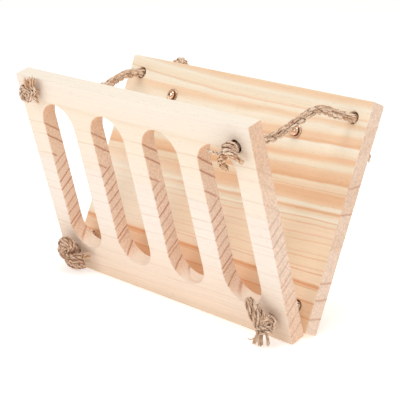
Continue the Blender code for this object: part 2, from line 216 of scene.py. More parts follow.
class Skin:
    """Tubes gathered into one mesh, with UVs in millimetres and a tint for each tube."""

    def __init__(self):
        self.points, self.faces, self.uvs, self.tints, self.depths = [], [], [], [], []
        self.count = 0

    def tube(self, path, radius, sides, tint, axis=None, outer=1.0):
        """A round tube; inside a rope, its axis and outer radius say how deep each point lies."""
        path = np.asarray(path, float)
        rings = len(path)
        radius = np.broadcast_to(np.asarray(radius, float), (rings,))
        outer = np.broadcast_to(np.asarray(outer, float), (rings,))[:, None]
        tangents, normals, others = carried_frames(path)
        angle = TURN * np.arange(sides) / sides
        ring = np.cos(angle)[None, :, None] * normals[:, None, :]
        ring = ring + np.sin(angle)[None, :, None] * others[:, None, :]
        body = path[:, None, :] + radius[:, None, None] * ring
        # How deep each point lies sets the jute's painted shade in the grooves
        if axis is None:
            self.depths += [1.0] * (rings * sides + 2)
        else:
            far = np.linalg.norm(body - axis[:, None, :], axis=2) / outer
            self.depths += far.reshape(-1).tolist() + [1.0, 1.0]
        body = body.reshape(-1, 3)
        tips = np.array([
            path[0] - tangents[0] * radius[0] * 0.6, path[-1] + tangents[-1] * radius[-1] * 0.6
        ])
        self.points.append(np.vstack([body, tips]))
        first, last = self.count + rings * sides, self.count + rings * sides + 1
        lengths = arc_lengths(path) / MM
        around = TURN * float(radius.mean()) / MM / sides
        for i in range(rings - 1):
            low, high = self.count + i * sides, self.count + (i + 1) * sides
            for j in range(sides):
                k = (j + 1) % sides
                self.faces.append((low + j, low + k, high + k, high + j))
                (u0, u1), (v0, v1) = (j * around, (j + 1) * around), lengths[i:i + 2]
                self.uvs += [u0, v0, u1, v0, u1, v1, u0, v1]
        top, end = self.count + (rings - 1) * sides, lengths[-1]
        for j in range(sides):
            k = (j + 1) % sides
            self.faces += [(first, self.count + k, self.count + j), (last, top + j, top + k)]
            self.uvs += [0, 0, around * k, 0, around * j, 0]
            self.uvs += [0, end, around * j, end, around * k, end]
        self.tints += [tint] * (rings * sides + 2)
        self.count += rings * sides + 2

    def make(self, name, material):
        mesh = bpy.data.meshes.new(name)
        mesh.from_pydata(np.vstack(self.points).tolist(), [], self.faces)
        layer = mesh.uv_layers.new(name="fibres")
        layer.data.foreach_set("uv", np.array(self.uvs, np.float32))
        tint = mesh.attributes.new("tint", "FLOAT", "POINT")
        tint.data.foreach_set("value", np.array(self.tints, np.float32))
        # How far out each point lies; the jute paints shade in the grooves from it
        depth = mesh.attributes.new("outside", "FLOAT", "POINT")
        depth.data.foreach_set("value", np.array(self.depths, np.float32))
        mesh.shade_smooth()
        mesh.materials.append(material)
        return add_object(name, mesh)


# For two or three strands: a strand's radius over the rope's diameter, and the share of the
# rope's radius that counts as its outside when the grooves are shaded
STRAND_FIT = {2: (0.285, 0.78), 3: (0.262, 1.0)}
YARN_LAY = 0.62
YARN_OVERLAP = 1.12
NEXT_STRAND = 1.7
# How unevenly the strands turn and spread, and the yarns turn, spread and thicken
STRAND_TURN, STRAND_SPREAD = 0.25, 0.08
YARN_TURN, YARN_SPREAD, YARN_UNEVEN = 0.35, 0.22, 0.16
HAIR_THICKNESS = 0.00013


def laid_rope(
    skin, path, diameter, seed, lay=0.021, strands=3, yarns=5, loosen=0.0, phase=0.0, filled=None
):
    """Strands wound round each other, each of yarns wound the other way.

    Loosen opens the path's end, and filled replaces the outside share from STRAND_FIT.
    """
    fit, outside = STRAND_FIT[strands]
    rng = np.random.default_rng(seed)
    length = arc_lengths(path)
    _, normals, others = carried_frames(path)
    strand_radius = diameter * fit
    yarn_radius = strand_radius / (1 + 1 / math.sin(math.pi / yarns)) * YARN_OVERLAP
    share = length / length[-1]

    def stray(amount, key, waves=4):
        return amount * wander(len(path), key, waves)

    for strand in range(strands):
        angle = TURN * (strand / strands + length / lay) + phase
        angle = angle + stray(STRAND_TURN, seed * 7 + strand)
        offset = (diameter / 2 - strand_radius) * (1 + stray(STRAND_SPREAD, seed + strand))
        offset = offset * (1 + loosen * share**3)
        core = path + offset[:, None] * (
            np.cos(angle)[:, None] * normals + np.sin(angle)[:, None] * others
        )
        _, sideways, upwards = carried_frames(core)
        for yarn in range(yarns):
            number = strand * 9 + yarn
            turn = TURN * (yarn / yarns - length / (lay * YARN_LAY)) + NEXT_STRAND * strand
            turn = turn + stray(YARN_TURN, seed * 13 + number, 6)
            reach = strand_radius - yarn_radius
            reach = reach * (1 + stray(YARN_SPREAD, seed * 5 + number, 9))
            line = core + reach[:, None] * (
                np.cos(turn)[:, None] * sideways + np.sin(turn)[:, None] * upwards
            )
            thick = yarn_radius * (1 + stray(YARN_UNEVEN, seed * 3 + strand + yarn, 9))
            skin.tube(line, thick, sides=6, tint=rng.uniform(0.05, 0.95), axis=path,
                      outer=(filled or outside) * diameter / 2)


def bundle(skin, path, count, yarn, spread, seed, tint, ragged, wave=0.15):
    """Loose yarns that follow a path and fan out from the first spread to the second."""
    rng = np.random.default_rng(seed)
    _, normals, others = carried_frames(path)
    share = np.linspace(0, 1, len(path))
    width = spread[0] + (spread[1] - spread[0]) * share**1.4
    for index in range(count):
        angle, reach = rng.uniform(0, TURN), math.sqrt(rng.random())
        bend = wave * width * wander(len(path), seed * 31 + index, 3)
        sideways = width * reach
        line = path + (sideways * np.cos(angle) + bend)[:, None] * normals
        line = line + (sideways * np.sin(angle) - bend)[:, None] * others
        keep = max(4, int(round(len(path) * (1 - ragged * rng.random()))))
        taper = np.minimum(1, 0.35 + 3.5 * (1 - share[:keep] / share[keep - 1]))
        skin.tube(
            line[:keep], yarn / 2 * rng.uniform(0.8, 1.2) * taper, sides=6,
            tint=rng.uniform(*tint),
        )


def fuzz(skin, path, radius, count, length, seed):
    """Short curved fibres that stand off a rope."""
    rng = np.random.default_rng(seed)
    tangents, normals, others = carried_frames(path)
    for _ in range(count):
        at = rng.integers(0, len(path))
        angle = rng.uniform(0, TURN)
        out = math.cos(angle) * normals[at] + math.sin(angle) * others[at]
        start = path[at] + out * radius * 0.75
        lean = tangents[at] * rng.uniform(-1, 1) + out * rng.uniform(0.25, 0.8)
        turn = np.cross(lean, out) * rng.uniform(-0.8, 0.8)
        reach = length * rng.uniform(0.4, 1.0)
        share = np.linspace(0, 1, 5)[:, None]
        line = start + reach * (share * lean + share**2 * (turn - 0.3 * out))
        skin.tube(line, HAIR_THICKNESS / 2 * np.linspace(1, 0.5, 5), sides=3,
                  tint=rng.uniform(0.3, 0.9))


# --- shader building


def srgb(red, green, blue):
    """Linear colour from display values of 0 to 255."""
    def linear(value):
        value /= 255
        return value / 12.92 if value <= 0.04045 else ((value + 0.055) / 1.055) ** 2.4
    return (linear(red), linear(green), linear(blue), 1)


class Shader:
    """A Principled material and short calls that add nodes to it."""

    def __init__(self, name):
        self.material = bpy.data.materials.new(name)
        self.material.use_nodes = True
        self.tree = self.material.node_tree
        self.bsdf = self.tree.nodes["Principled BSDF"]

    def node(self, kind, inputs=(), **settings):
        node = self.tree.nodes.new("ShaderNode" + kind)
        for key, value in settings.items():
            setattr(node, key, value)
        for key, value in dict(inputs).items():
            self.feed(node.inputs[key], value)
        return node

    def feed(self, socket, value):
        if isinstance(value, bpy.types.NodeSocket):
            self.tree.links.new(value, socket)
        else:
            socket.default_value = value

    def set(self, **sockets):
        for key, value in sockets.items():
            self.feed(self.bsdf.inputs[key.replace("_", " ")], value)

    def math(self, operation, a, b=0.0, c=0.0):
        return self.node("Math", {0: a, 1: b, 2: c}, operation=operation).outputs[0]

    def chain(self, operation, first, others):
        for other in others:
            first = self.math(operation, first, other)
        return first

    def times(self, first, *others):
        return self.chain("MULTIPLY", first, others)

    def plus(self, first, *others):
        return self.chain("ADD", first, others)

    def minus(self, first, *others):
        return self.chain("SUBTRACT", first, others)

    def linear(self, value, scale, shift):
        return self.math("MULTIPLY_ADD", value, scale, shift)

    def vector(self, x, y, z):
        return self.node("CombineXYZ", {0: x, 1: y, 2: z}).outputs[0]

    def noise(self, place, detail=2.0, roughness=0.5):
        return self.node("TexNoise", {
            "Vector": place, "Scale": 1.0, "Detail": detail, "Roughness": roughness,
        }).outputs["Fac"]

    def between(self, value, low, high, to_low=0.0, to_high=1.0, smooth=False):
        return self.node(
            "MapRange",
            {"Value": value, "From Min": low, "From Max": high, "To Min": to_low,
             "To Max": to_high},
            interpolation_type="SMOOTHSTEP" if smooth else "LINEAR",
        ).outputs["Result"]

    def ramp(self, factor, stops):
        node = self.node("ValToRGB", {"Fac": factor})
        elements = node.color_ramp.elements
        while len(elements) > 1:
            elements.remove(elements[-1])
        for index, (place, colour) in enumerate(stops):
            element = elements[0] if index == 0 else elements.new(place)
            element.position = place
            element.color = colour
        return node.outputs["Color"]

    def mix(self, factor, a, b, blend="MIX"):
        node = self.node("Mix", data_type="RGBA", blend_type=blend)
        self.feed(node.inputs[0], factor)
        self.feed(node.inputs[6], a)
        self.feed(node.inputs[7], b)
        return node.outputs[2]

    def shade(self, colour, factor):
        """The colour times a factor."""
        return self.mix(1.0, colour, self.vector(factor, factor, factor), "MULTIPLY")

    def bump(self, height, strength, distance):
        return self.node(
            "Bump", {"Height": height, "Strength": strength, "Distance": distance}
        ).outputs["Normal"]


# --- jute


def make_jute(name, dark, middle, light):
    """Twisted fibres along each yarn, with painted shade in the grooves between the strands."""
    sh = Shader(name)
    uv = sh.node("SeparateXYZ", {0: sh.node("UVMap", uv_map="fibres").outputs[0]})
    tint, outside = (
        sh.node("Attribute", attribute_name=name).outputs["Fac"] for name in ("tint", "outside")
    )
    across, along = uv.outputs[0], uv.outputs[1]
    twisted = sh.plus(across, sh.times(along, 0.55))
    apart = sh.times(tint, 57.0)
    fibre = sh.noise(sh.vector(sh.times(twisted, 1.3), sh.times(along, 0.40), apart), 3.0, 0.65)
    hair = sh.noise(sh.vector(sh.times(twisted, 6.0), sh.times(along, 0.9), apart), 2.0, 0.6)
    patch = sh.noise(sh.vector(across, sh.times(along, 0.12), apart), 1.0)
    factor = sh.plus(sh.times(fibre, 1.1), sh.times(hair, 0.40), sh.times(patch, 0.3),
                     sh.times(tint, 0.55))
    colour = sh.ramp(sh.between(factor, 0.74, 1.50), [(0.0, dark), (0.40, middle), (1.0, light)])
    # Painted shade: yarns deep in the rope, found by the outside attribute, turn darker
    painted_groove_shade = sh.mix(1.0, colour, srgb(150, 112, 86), "MULTIPLY")
    colour = sh.mix(sh.between(outside, 0.50, 0.88, smooth=True), painted_groove_shade, colour)
    sh.set(Base_Color=colour, Roughness=0.9, Specular_IOR_Level=0.15, Sheen_Weight=0.15,
           Sheen_Roughness=0.5, Normal=sh.bump(sh.plus(fibre, sh.times(hair, 0.5)), 0.6, 0.00025))
    return sh.material


JUTE = make_jute("jute_grey", srgb(112, 72, 48), srgb(212, 174, 144), srgb(252, 236, 216))
JUTE_WARM = make_jute("jute_warm", srgb(110, 68, 42), srgb(206, 160, 122), srgb(248, 220, 190))
# A darker copy of the jute for the bottom-left knot and its low tail: painted shade
JUTE_SHADED = make_jute("jute_shaded", srgb(98, 64, 42), srgb(196, 155, 124), srgb(238, 212, 188))
JUTE_PALE = make_jute("jute_pale", srgb(140, 98, 68), srgb(220, 184, 152), srgb(252, 236, 216))

# --- the four ropes

# The visible rope is a little fuller than the CAD's and swells towards its rear end
ROPE_FLUFFED = 0.0077
ROPE_SWOLLEN = 0.0093
ROPE_SWELL_LENGTH = 0.090
PATH_STEP = 0.0008
HAIRS_PER_METRE = 1300
HAIR_LENGTH = 0.0042
# World points between the boards, with y from the crease
ROPE_SPANS = {
    "top_left": [
        (-0.1332, 0.0630, 0.1752), (-0.1322, 0.0510, 0.1751), (-0.1308, 0.0390, 0.1727),
        (-0.1294, 0.0260, 0.1688), (-0.1278, 0.0100, 0.1660), (-0.1262, -0.0080, 0.1660),
        (-0.1248, -0.0250, 0.1696), (-0.1236, -0.0400, 0.1762),
    ],
    "top_right": [
        (0.1328, 0.0620, 0.1768), (0.1332, 0.0490, 0.1814), (0.1334, 0.0360, 0.1862),
        (0.1332, 0.0240, 0.1873), (0.1329, 0.0100, 0.1837), (0.1325, -0.0060, 0.1782),
        (0.1320, -0.0220, 0.1738), (0.1315, -0.0370, 0.1738),
    ],
    "bottom_left": [(-0.1300, 0.0035, 0.0268), (-0.1268, -0.0010, 0.0270)],
    "bottom_right": [(0.1326, 0.0035, 0.0268), (0.1318, -0.0010, 0.0270)],
}


def rope_at(hole):
    """Where a rope crosses its hole: x and height up the board."""
    (x, height), (shift_x, shift_up) = HOLES[hole], ROPE_SHIFTS.get(hole, (0, 0))
    return x + shift_x, height + shift_up


def rope_route(place):
    span = [Vector(point) + Vector((0, CREASE_Y, 0)) for point in ROPE_SPANS[place]]
    rear, front = rope_at("rear_" + place), rope_at("front_" + place)
    return [
        on_board("back", *rear, 0), on_board("back", *rear, -BOARD_THICKNESS), *span,
        on_board("front", *front, -BOARD_THICKNESS), on_board("front", *front, 0),
    ]


ropes, rope_lines, hairs = {}, {}, {}
for number, place in enumerate(ROPE_SPANS):
    line = smooth_line(rope_route(place), PATH_STEP)
    skin = Skin()
    swollen = np.clip(1 - arc_lengths(line) / ROPE_SWELL_LENGTH, 0, 1)
    laid_rope(skin, line, ROPE_FLUFFED + (ROPE_SWOLLEN - ROPE_FLUFFED) * swollen**1.3,
              seed=11 + number, phase=1.1 * number, yarns=7, filled=0.86)
    ropes[place] = skin.make("rope_" + place + "_laid", JUTE)
    rope_lines[place] = line
    skin = Skin()
    fuzz(skin, line, ROPE_DIAMETER / 2, int(HAIRS_PER_METRE * len(line) * PATH_STEP),
         HAIR_LENGTH, 50 + number)
    hairs[place] = skin.make("rope_" + place + "_hairs", JUTE_PALE)

# --- knots and tails

# Routes are places on a board in millimetres: (x, height, out)


def route(side, points, step=0.7):
    return smooth_line([on_board(side, *(MM * value for value in p)) for p in points], step * MM)


def tied(name, side, material, parts):
    """One piece from parts, each (kind, points, settings)."""
    skin = Skin()
    for kind, points, settings in parts:
        kind(skin, route(side, points), **settings)
    return skin.make(name, material)


def rope(points, diameter, seed, lay=0.016, **more):
    return (laid_rope, points, {"diameter": diameter * MM, "seed": seed, "lay": lay, **more})


def twine(points, diameter, seed, lay=0.012, **more):
    return rope(points, diameter, seed, lay, strands=2, **more)


def yarns(points, count, yarn, spread, seed, tint=(0.0, 1.0), ragged=0.3, **more):
    return (bundle, points, {
        "count": count, "yarn": yarn * MM, "spread": [MM * value for value in spread],
        "seed": seed, "tint": tint, "ragged": ragged, **more
    })


def hairy(points, radius, count, length, seed):
    return (fuzz, points, {
        "radius": radius * MM, "count": count, "length": length * MM, "seed": seed
    })


PIECES = {}

loop = [(-123, 184, 0.4), (-121.5, 191, 5), (-125, 192.5, 7), (-127.5, 188, 8),
        (-128, 183, 8.5), (-123.5, 180, 8.5), (-117, 182.5, 8.5), (-115.5, 188, 8.5),
        (-117.5, 192.5, 8.5)]
PIECES["knot_front_top_left"] = (JUTE, [
    rope(loop, 4.8, 101), hairy(loop, 3, 90, 4, 102),
    rope([(-119, 183, 4), (-119, 184.5, 8), (-120.5, 188, 9.5), (-119, 191.5, 9.5),
          (-113.5, 194, 10), (-110, 191.5, 9.5), (-112, 187.5, 7)], 4.4, 103, lay=0.015),
    twine([(-120, 191.5, 5), (-112, 196, 8), (-107.5, 195, 8.5), (-108.5, 190, 7), (-113, 186, 6)],
          3.4, 104),
    twine([(-118, 186.5, 5), (-113.5, 186, 8), (-111.5, 182.5, 7), (-112.5, 179, 4.6)], 3.2, 105),
])
PIECES["tail_front_top_left_up"] = (JUTE_WARM, [
    yarns([(-116, 190, 6), (-112, 196.5, 7.5), (-112.3, 204, 5.2)], 14, 1.1, (2, 3.4), 111,
          wave=0.2),
    yarns([(-113, 190.5, 6), (-108.5, 197, 7), (-107.6, 204.8, 5)], 14, 1.1, (1.6, 2.6), 117,
          wave=0.2),
    yarns([(-115.5, 192, 8), (-116.5, 197, 8), (-118.2, 202.5, 6)], 12, 1.1, (1.6, 2.6), 118,
          ragged=0.4, wave=0.2),
])
PIECES["tail_front_top_left_side"] = (JUTE_WARM, [
    yarns([(-116, 184.5, 4.5), (-111.5, 188, 4), (-108.3, 191.5, 3)], 9, 0.9, (1, 1.8), 112,
          wave=0.3),
    yarns([(-116.5, 183.5, 4.5), (-111.5, 185, 3.5), (-108.6, 186.4, 2.8)], 9, 0.9, (1, 1.6), 113,
          wave=0.3),
    yarns([(-116, 183, 5), (-112.5, 181.5, 4), (-110, 181, 3)], 9, 0.9, (1, 1.8), 119, wave=0.3),
])
PIECES["tail_front_top_left_down"] = (JUTE, [
    yarns([(-113, 182, 5.5), (-112.5, 179, 4.8), (-112.2, 176.2, 3.6)], 12, 1, (1.2, 1.7), 114,
          ragged=0.2, tint=(0.1, 1)),
])

coils = [
    [(122.5, 177, 6.5), (128, 183.8, 9), (133.5, 187.8, 9.6), (137, 187, 7.6),
     (137.2, 182.6, 4.8), (133, 179.6, 1)],
    [(124.5, 177, 8), (131.4, 183.2, 11), (136.8, 186.2, 11.2), (139, 184, 9),
     (137.8, 180, 5.6), (133, 178.4, 2)],
    [(127.5, 177.2, 9.2), (134.6, 181.8, 11.8), (138.4, 182.6, 11), (138.6, 179.2, 8.2),
     (134.6, 176.8, 5)],
    [(122, 176.5, 5), (127, 180.6, 6.6), (131.5, 182.4, 6.4), (132.5, 180.4, 4),
     (130.6, 179.2, 1.4)],
]
PIECES["knot_front_top_right"] = (JUTE, [
    *[twine(line, (4.6, 4.8, 4.4, 5)[i], 121 + i, lay=0.022, phase=0.8 * i)
      for i, line in enumerate(coils)],
    hairy(coils[1], 2.6, 70, 3.2, 132),
])
PIECES["tail_front_top_right_left"] = (JUTE, [
    twine([(126, 177.2, 7.8), (118.5, 175.6, 6.6), (111.5, 173.4, 5), (106.5, 172.8, 4),
           (102.6, 172.2, 3.2)], 3.4, 124),
    yarns([(108, 173.2, 4.4), (104.5, 172.6, 3.5), (101.3, 172, 2.8)], 9, 0.9, (1, 1.7), 125,
          ragged=0.25),
])
PIECES["tail_front_top_right_down"] = (JUTE_WARM, [
    twine([(133, 178.5, 9.8), (129, 178, 11), (122.5, 173.5, 9.8), (118.8, 168, 8.4),
           (118.6, 164, 7), (121.2, 161.8, 5.8)], 4.2, 126, lay=0.014),
    twine([(134, 177, 9), (130.5, 175.8, 10), (125.5, 172, 9), (122.8, 168, 8), (123.6, 165, 7),
           (124.4, 162.4, 6)], 3.8, 127, lay=0.014),
    yarns([(119.4, 165.5, 7.2), (121.4, 163, 6.2), (124.4, 161.6, 5.2)], 12, 1, (1.4, 2.2), 130),
])
PIECES["tail_front_top_right_right"] = (JUTE_WARM, [
    twine([(128, 176.6, 9.8), (133.5, 179.2, 11.4), (138.2, 179, 10.2), (140.2, 175.4, 7.6),
           (140.4, 171.6, 5.6)], 3.8, 128, lay=0.013),
    twine([(130.5, 175.6, 9), (135, 176.8, 9.8), (137.6, 175.2, 8), (138.2, 172, 6)], 3.2, 129),
    yarns([(139.4, 174, 6.8), (140.2, 171.2, 5.2), (140.8, 169.4, 4)], 10, 0.9, (1.3, 2.1), 133),
])

coils = [
    [(-123, 20, 0.4), (-118.6, 22.5, 4), (-113.8, 29, 8), (-112.6, 35.6, 10.5),
     (-116.4, 38.6, 12), (-123, 36.5, 12.5), (-127.4, 31.5, 13), (-128.4, 26, 12.6)],
    [(-120, 19.4, 5), (-115.4, 27, 10), (-113.6, 33.6, 12.5), (-116.5, 36, 14),
     (-121, 33.4, 14.5), (-124.4, 28.5, 14.5), (-124.8, 24, 14)],
    [(-121, 19.4, 8), (-116.6, 26.5, 12.4), (-115.6, 31.4, 14.8), (-118.2, 31.6, 16),
     (-121.4, 27.6, 16), (-122.6, 23, 15)],
]
left = [(-127.4, 30.5, 11), (-131.6, 25, 12), (-131.2, 20, 12.5), (-126.5, 16.8, 13),
        (-118.5, 17, 13)]
across = [(-127, 24.5, 13.4), (-121, 22.6, 15.5), (-112.5, 22.2, 15), (-105, 22.8, 12.6),
          (-101, 22.4, 10)]
low = [(-129, 12.2, 10), (-124, 9.4, 12), (-115, 8.6, 12.5), (-108, 9.6, 10.8)]
PIECES["knot_front_bottom_left"] = (JUTE_SHADED, [
    *[rope(line, 5.4, 131 + i, lay=0.017, phase=i) for i, line in enumerate(coils)],
    hairy(coils[0], 3.2, 110, 4.6, 138),
    rope(left, 5.6, 134, lay=0.018), hairy(left, 3, 50, 4.4, 139),
    rope(across, 5.6, 135, lay=0.018), hairy(across, 3, 50, 4.4, 140),
    rope([(-126, 17, 12.5), (-116, 17.2, 14.4), (-107.5, 17.4, 13), (-102, 18.4, 10.5)], 5, 136,
         lay=0.017),
    rope([(-121, 25, 8), (-117, 21, 9), (-114, 16, 9), (-110, 15, 8.5)], 6, 137, lay=0.018),
    rope([(-122, 21, 5), (-123.5, 25, 11), (-123, 26.5, 15.4), (-119, 24, 15.8)], 4.6, 153),
])
PIECES["tail_front_bottom_left_low"] = (JUTE_SHADED, [
    rope(low, 5, 146), hairy(low, 3, 60, 4, 147),
    rope([(-123, 14.6, 12.5), (-115.5, 13, 14), (-108.5, 12.2, 12.8), (-104, 12, 10.4)], 5, 148),
    yarns([(-109, 9.8, 10.8), (-106, 9.8, 9.6), (-103.4, 10.2, 8.2)], 12, 1.1, (1.6, 2.2), 149),
    yarns([(-106, 12.4, 11), (-103.4, 12.6, 9.8), (-101.4, 13.2, 8.2)], 12, 1.1, (1.6, 2.2), 150),
])
PIECES["tail_front_bottom_left_side"] = (JUTE_WARM, [
    yarns([(-106, 20.6, 11), (-101.6, 21.4, 8.6), (-96.6, 23.4, 5.4)], 30, 1, (2.2, 3.8), 151,
          ragged=0.4, wave=0.3),
])

ring = [(127.5, 15.4, 7), (132.6, 21.5, 10), (137.6, 27, 10.5), (141.2, 29, 8.6),
        (142, 24.6, 7), (139.8, 19.4, 6.4), (136.4, 16.6, 8.6), (132, 15, 10.6),
        (126.5, 14.2, 11)]
PIECES["knot_front_bottom_right"] = (JUTE, [
    rope([(131, 20, 0.4), (130, 18.5, 4), (128.8, 16.5, 8), (126.5, 14.6, 11)], 6.4, 141,
         lay=0.021),
    rope(ring, 4.6, 142), hairy(ring, 3, 110, 4.4, 143),
    twine([(121.4, 11.4, 9), (125.6, 12.6, 12.6), (131.2, 15.4, 14.2), (136.2, 17, 12.4),
           (138, 15.4, 8.6)], 4, 144),
    twine([(123, 14.6, 10), (129, 18.6, 13), (135, 20.6, 12.6), (139, 19, 9.6)], 3.6, 145),
    yarns([(131.5, 18, 6), (137, 23.2, 8.4), (141.4, 26.2, 8)], 34, 1, (2.2, 4.4), 152, ragged=0.4,
          wave=0.3, tint=(0, 0.8)),
])
fan = [
    [(122, 13, 9.4), (121.6, 23, 12), (118.2, 31, 11.6), (114.4, 38.4, 9)],
    [(124.5, 14.5, 10.4), (125.2, 25.5, 13), (122.4, 35, 12.4), (118.4, 41, 9.5)],
    [(127, 16.2, 10.8), (128.4, 27.5, 12.6), (125.4, 36.6, 11.6), (121.6, 41.6, 9)],
    [(128, 16.5, 10.2), (130, 28, 11.6), (128, 36, 10.5), (124.4, 39.6, 8.5)],
    [(129, 17.5, 9.6), (131.8, 27.5, 10), (130.6, 35, 9), (127.6, 38.6, 7.5)],
    [(127, 15.2, 8), (132.5, 25.5, 9.8), (136, 31.4, 9)],
]
PIECES["tail_front_bottom_right_fan"] = (JUTE, [
    *[twine(line, 3.3, 160 + i, lay=0.019, phase=1.3 * i) for i, line in enumerate(fan)],
    twine([(115.4, 38.6, 9.4), (118.4, 43, 9.8), (122.2, 43.6, 9.2), (123.6, 40.4, 8)], 3, 167),
    *[yarns([line[-2], line[-1], tuple(1.2 * b - 0.2 * a for a, b in zip(*line[-2:]))],
            6, 0.9, (1, 1.7), 170 + i, ragged=0.4)
      for i, line in enumerate(fan)],
])
PIECES["tail_front_bottom_right_end"] = (JUTE_PALE, [
    twine([(130.5, 20.5, 10.6), (134.6, 26.6, 11.4), (138.4, 31.4, 9.6)], 3, 180, lay=0.011),
    yarns([(135.6, 28, 11), (138, 31.2, 9.8), (139.8, 33.4, 8.2)], 8, 0.9, (0.9, 1.6), 181,
          ragged=0.25),
])
feet = [
    [(125.6, 12, 12.6), (126.4, 9.9, 16.6), (129.2, 9.8, 22.4)],
    [(128.8, 12, 13.2), (132, 10.8, 17.6), (136.6, 10.6, 22.6)],
    [(133, 12, 10.6), (136.2, 9.2, 13.6), (140.6, 9, 18)],
]
for i, line in enumerate(feet):
    PIECES[f"tail_front_bottom_right_foot_{i + 1}"] = (JUTE_PALE, [
        yarns(line, (24, 24, 16)[i], 1.2, ((1.6, 2.2), (1.6, 2.2), (1.1, 1.7))[i], 185 + i,
              ragged=0.05, tint=(0.1, 1)),
    ])
PIECES["stray_fibre"] = (JUTE, [
    yarns([(125.8, 11.6, 15.6), (124, 9.6, 17.2), (121.2, 8.2, 18.8), (117.4, 8.6, 18.2)], 1, 0.9,
          (0.1, 0.1), 169, tint=(0.3, 0.75), ragged=0),
])


def overhand(x, height, flip):
    """A stopper knot of one rope, outside a hole; flip mirrors it."""
    turns = [(0, 0, 0.4), (0.5, 0.5, 4), (4.5, 3.5, 6.5), (4.8, -2.5, 9), (-0.5, -5.6, 10.4),
             (-5.4, -1.2, 9.4), (-3.2, 4.8, 7.4), (2.6, 5.2, 11), (3.4, -1, 13.2),
             (0, -4, 12.6)]
    return [(x + flip * dx, height + dv, out) for dx, dv, out in turns]


REAR_TAILS = {
    "rear_top_left": ((-128.5, 189, 12), (-123.5, 197.5, 11.5), (-115.5, 204.6, 10.6),
                      (-109, 206.4, 10), (-103.5, 204, 9)),
    "rear_top_right": ((133, 178, 12.6), (132.2, 168, 15), (132, 161, 18.2),
                       (132.8, 156.5, 19.4)),
    "rear_bottom_left": ((-131.5, 15.5, 13.4), (-127, 14.8, 20.5), (-122, 16.4, 27),
                         (-119, 17.6, 30)),
    "rear_bottom_right": ((131, 15.5, 13.4), (126, 14.8, 20.5), (120.4, 16.4, 27),
                          (116.4, 17.6, 30)),
}
for number, (place, tail) in enumerate(REAR_TAILS.items()):
    x, height = (value / MM for value in HOLES[place])
    body = overhand(x, height, 1 if number % 2 else -1)
    PIECES["knot_" + place] = (JUTE, [
        rope(body, 5.6, 180 + number, lay=0.018), hairy(body, 3.2, 90, 4, 184 + number),
    ])
    PIECES["tail_" + place] = (JUTE, [
        rope([body[-1], *tail], 5.8, 190 + number, lay=0.020, loosen=0.35),
        yarns(tail[-2:] + (tuple(2 * b - a for a, b in zip(*tail[-2:])),), 16, 1,
              (1.8, 2.6), 194 + number, tint=(0.3, 0.75), ragged=0.5),
        hairy(tail, 3, 60, 3.8, 197 + number),
    ])

on_rope = {place: [hairs[place]] for place in ROPE_SPANS}
for name, (material, parts) in PIECES.items():
    place = next((p for p in HOLES if p in name), "front_bottom_right")
    obj = tied(name + ("" if name == "stray_fibre" else "_tied"), side_of(place), material, parts)
    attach(obj, side_of(place))
    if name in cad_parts:
        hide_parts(name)
    on_rope[place.split("_", 1)[1]].append(obj)

for place, obj in ropes.items():
    line = rope_lines[place]
    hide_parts("rope_" + place)
    for piece in (obj, hairs[place]):
        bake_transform(piece)

# --- pine


def make_pine(name, ring_height, face, end, holes, seed, streaks=0.045, hole_shade=0.40):
    """Growth rings run along the board; face and end give colours from a ring height."""
    sh = Shader(name)
    place = sh.node("TexCoord")
    xyz = sh.node("SeparateXYZ", {0: place.outputs["Object"]})
    x, y, z = (sh.times(xyz.outputs[i], 1 / MM) for i in range(3))

    def stretched(along, through, up, shift=0, **more):
        """Noise over the board's millimetres, with a scale for each axis."""
        return sh.noise(sh.vector(sh.linear(x, along, seed + shift), sh.times(y, through),
                                  sh.times(z, up)), **more)

    wave, ripple = stretched(0.0055, 0.02, 0.03), stretched(0.035, 0.12, 0.18)
    height = sh.plus(ring_height(sh, x, y, z), sh.between(wave, 0.2, 0.8, -1.4, 1.4),
                     sh.between(ripple, 0.2, 0.8, -0.6, 0.6))
    fine = sh.noise(sh.vector(sh.linear(x, 0.006, seed + 3), 0.0, sh.times(height, 0.42)),
                    3.0, 0.62)
    thread = stretched(0.030, 1.1, 1.5, shift=9, roughness=0.6)
    pores = stretched(0.16, 1.2, 1.3, shift=5, detail=1.0)
    grain = sh.times(sh.between(fine, 0.30, 0.70, 1 - streaks, 1 + streaks * 0.6),
                     sh.between(thread, 0.25, 0.75, 0.965, 1.025),
                     sh.between(pores, 0.60, 0.72, 1.0, 0.90))
    long_grain = sh.shade(face(sh, height, x, z), grain)
    cells = sh.noise(sh.vector(sh.times(x, 0.05), sh.times(y, 0.62), sh.linear(z, 0.62, seed)),
                     2.0, 0.7)
    end_grain = sh.shade(end(sh, height, x, z), sh.between(cells, 0.34, 0.66, 0.86, 1.12))
    across = sh.node("SeparateXYZ", {0: place.outputs["Normal"]}).outputs[0]
    cut = sh.between(sh.math("ABSOLUTE", across), 0.35, 0.80, smooth=True)
    colour = sh.mix(cut, long_grain, end_grain)
    # Painted shade in each hole: its wall and a thin ring round its rim darken to hole_shade
    rim = HOLE_DIAMETER / MM / 2
    for hole_x, hole_height in holes:
        aside, above = sh.minus(x, hole_x / MM), sh.minus(z, hole_height / MM)
        apart = sh.plus(sh.times(aside, aside), sh.times(above, above))
        colour = sh.shade(
            colour, sh.between(apart, (rim + 0.05) ** 2, (rim + 0.6) ** 2, hole_shade))
    relief = sh.plus(sh.times(thread, 0.7), sh.times(cells, cut))
    sh.set(Base_Color=colour, Roughness=0.58, Specular_IOR_Level=0.22,
           Normal=sh.bump(relief, 0.25, 0.0004))
    return sh.material


LEVEL_SPAN = 220
MOST_STOPS = 30


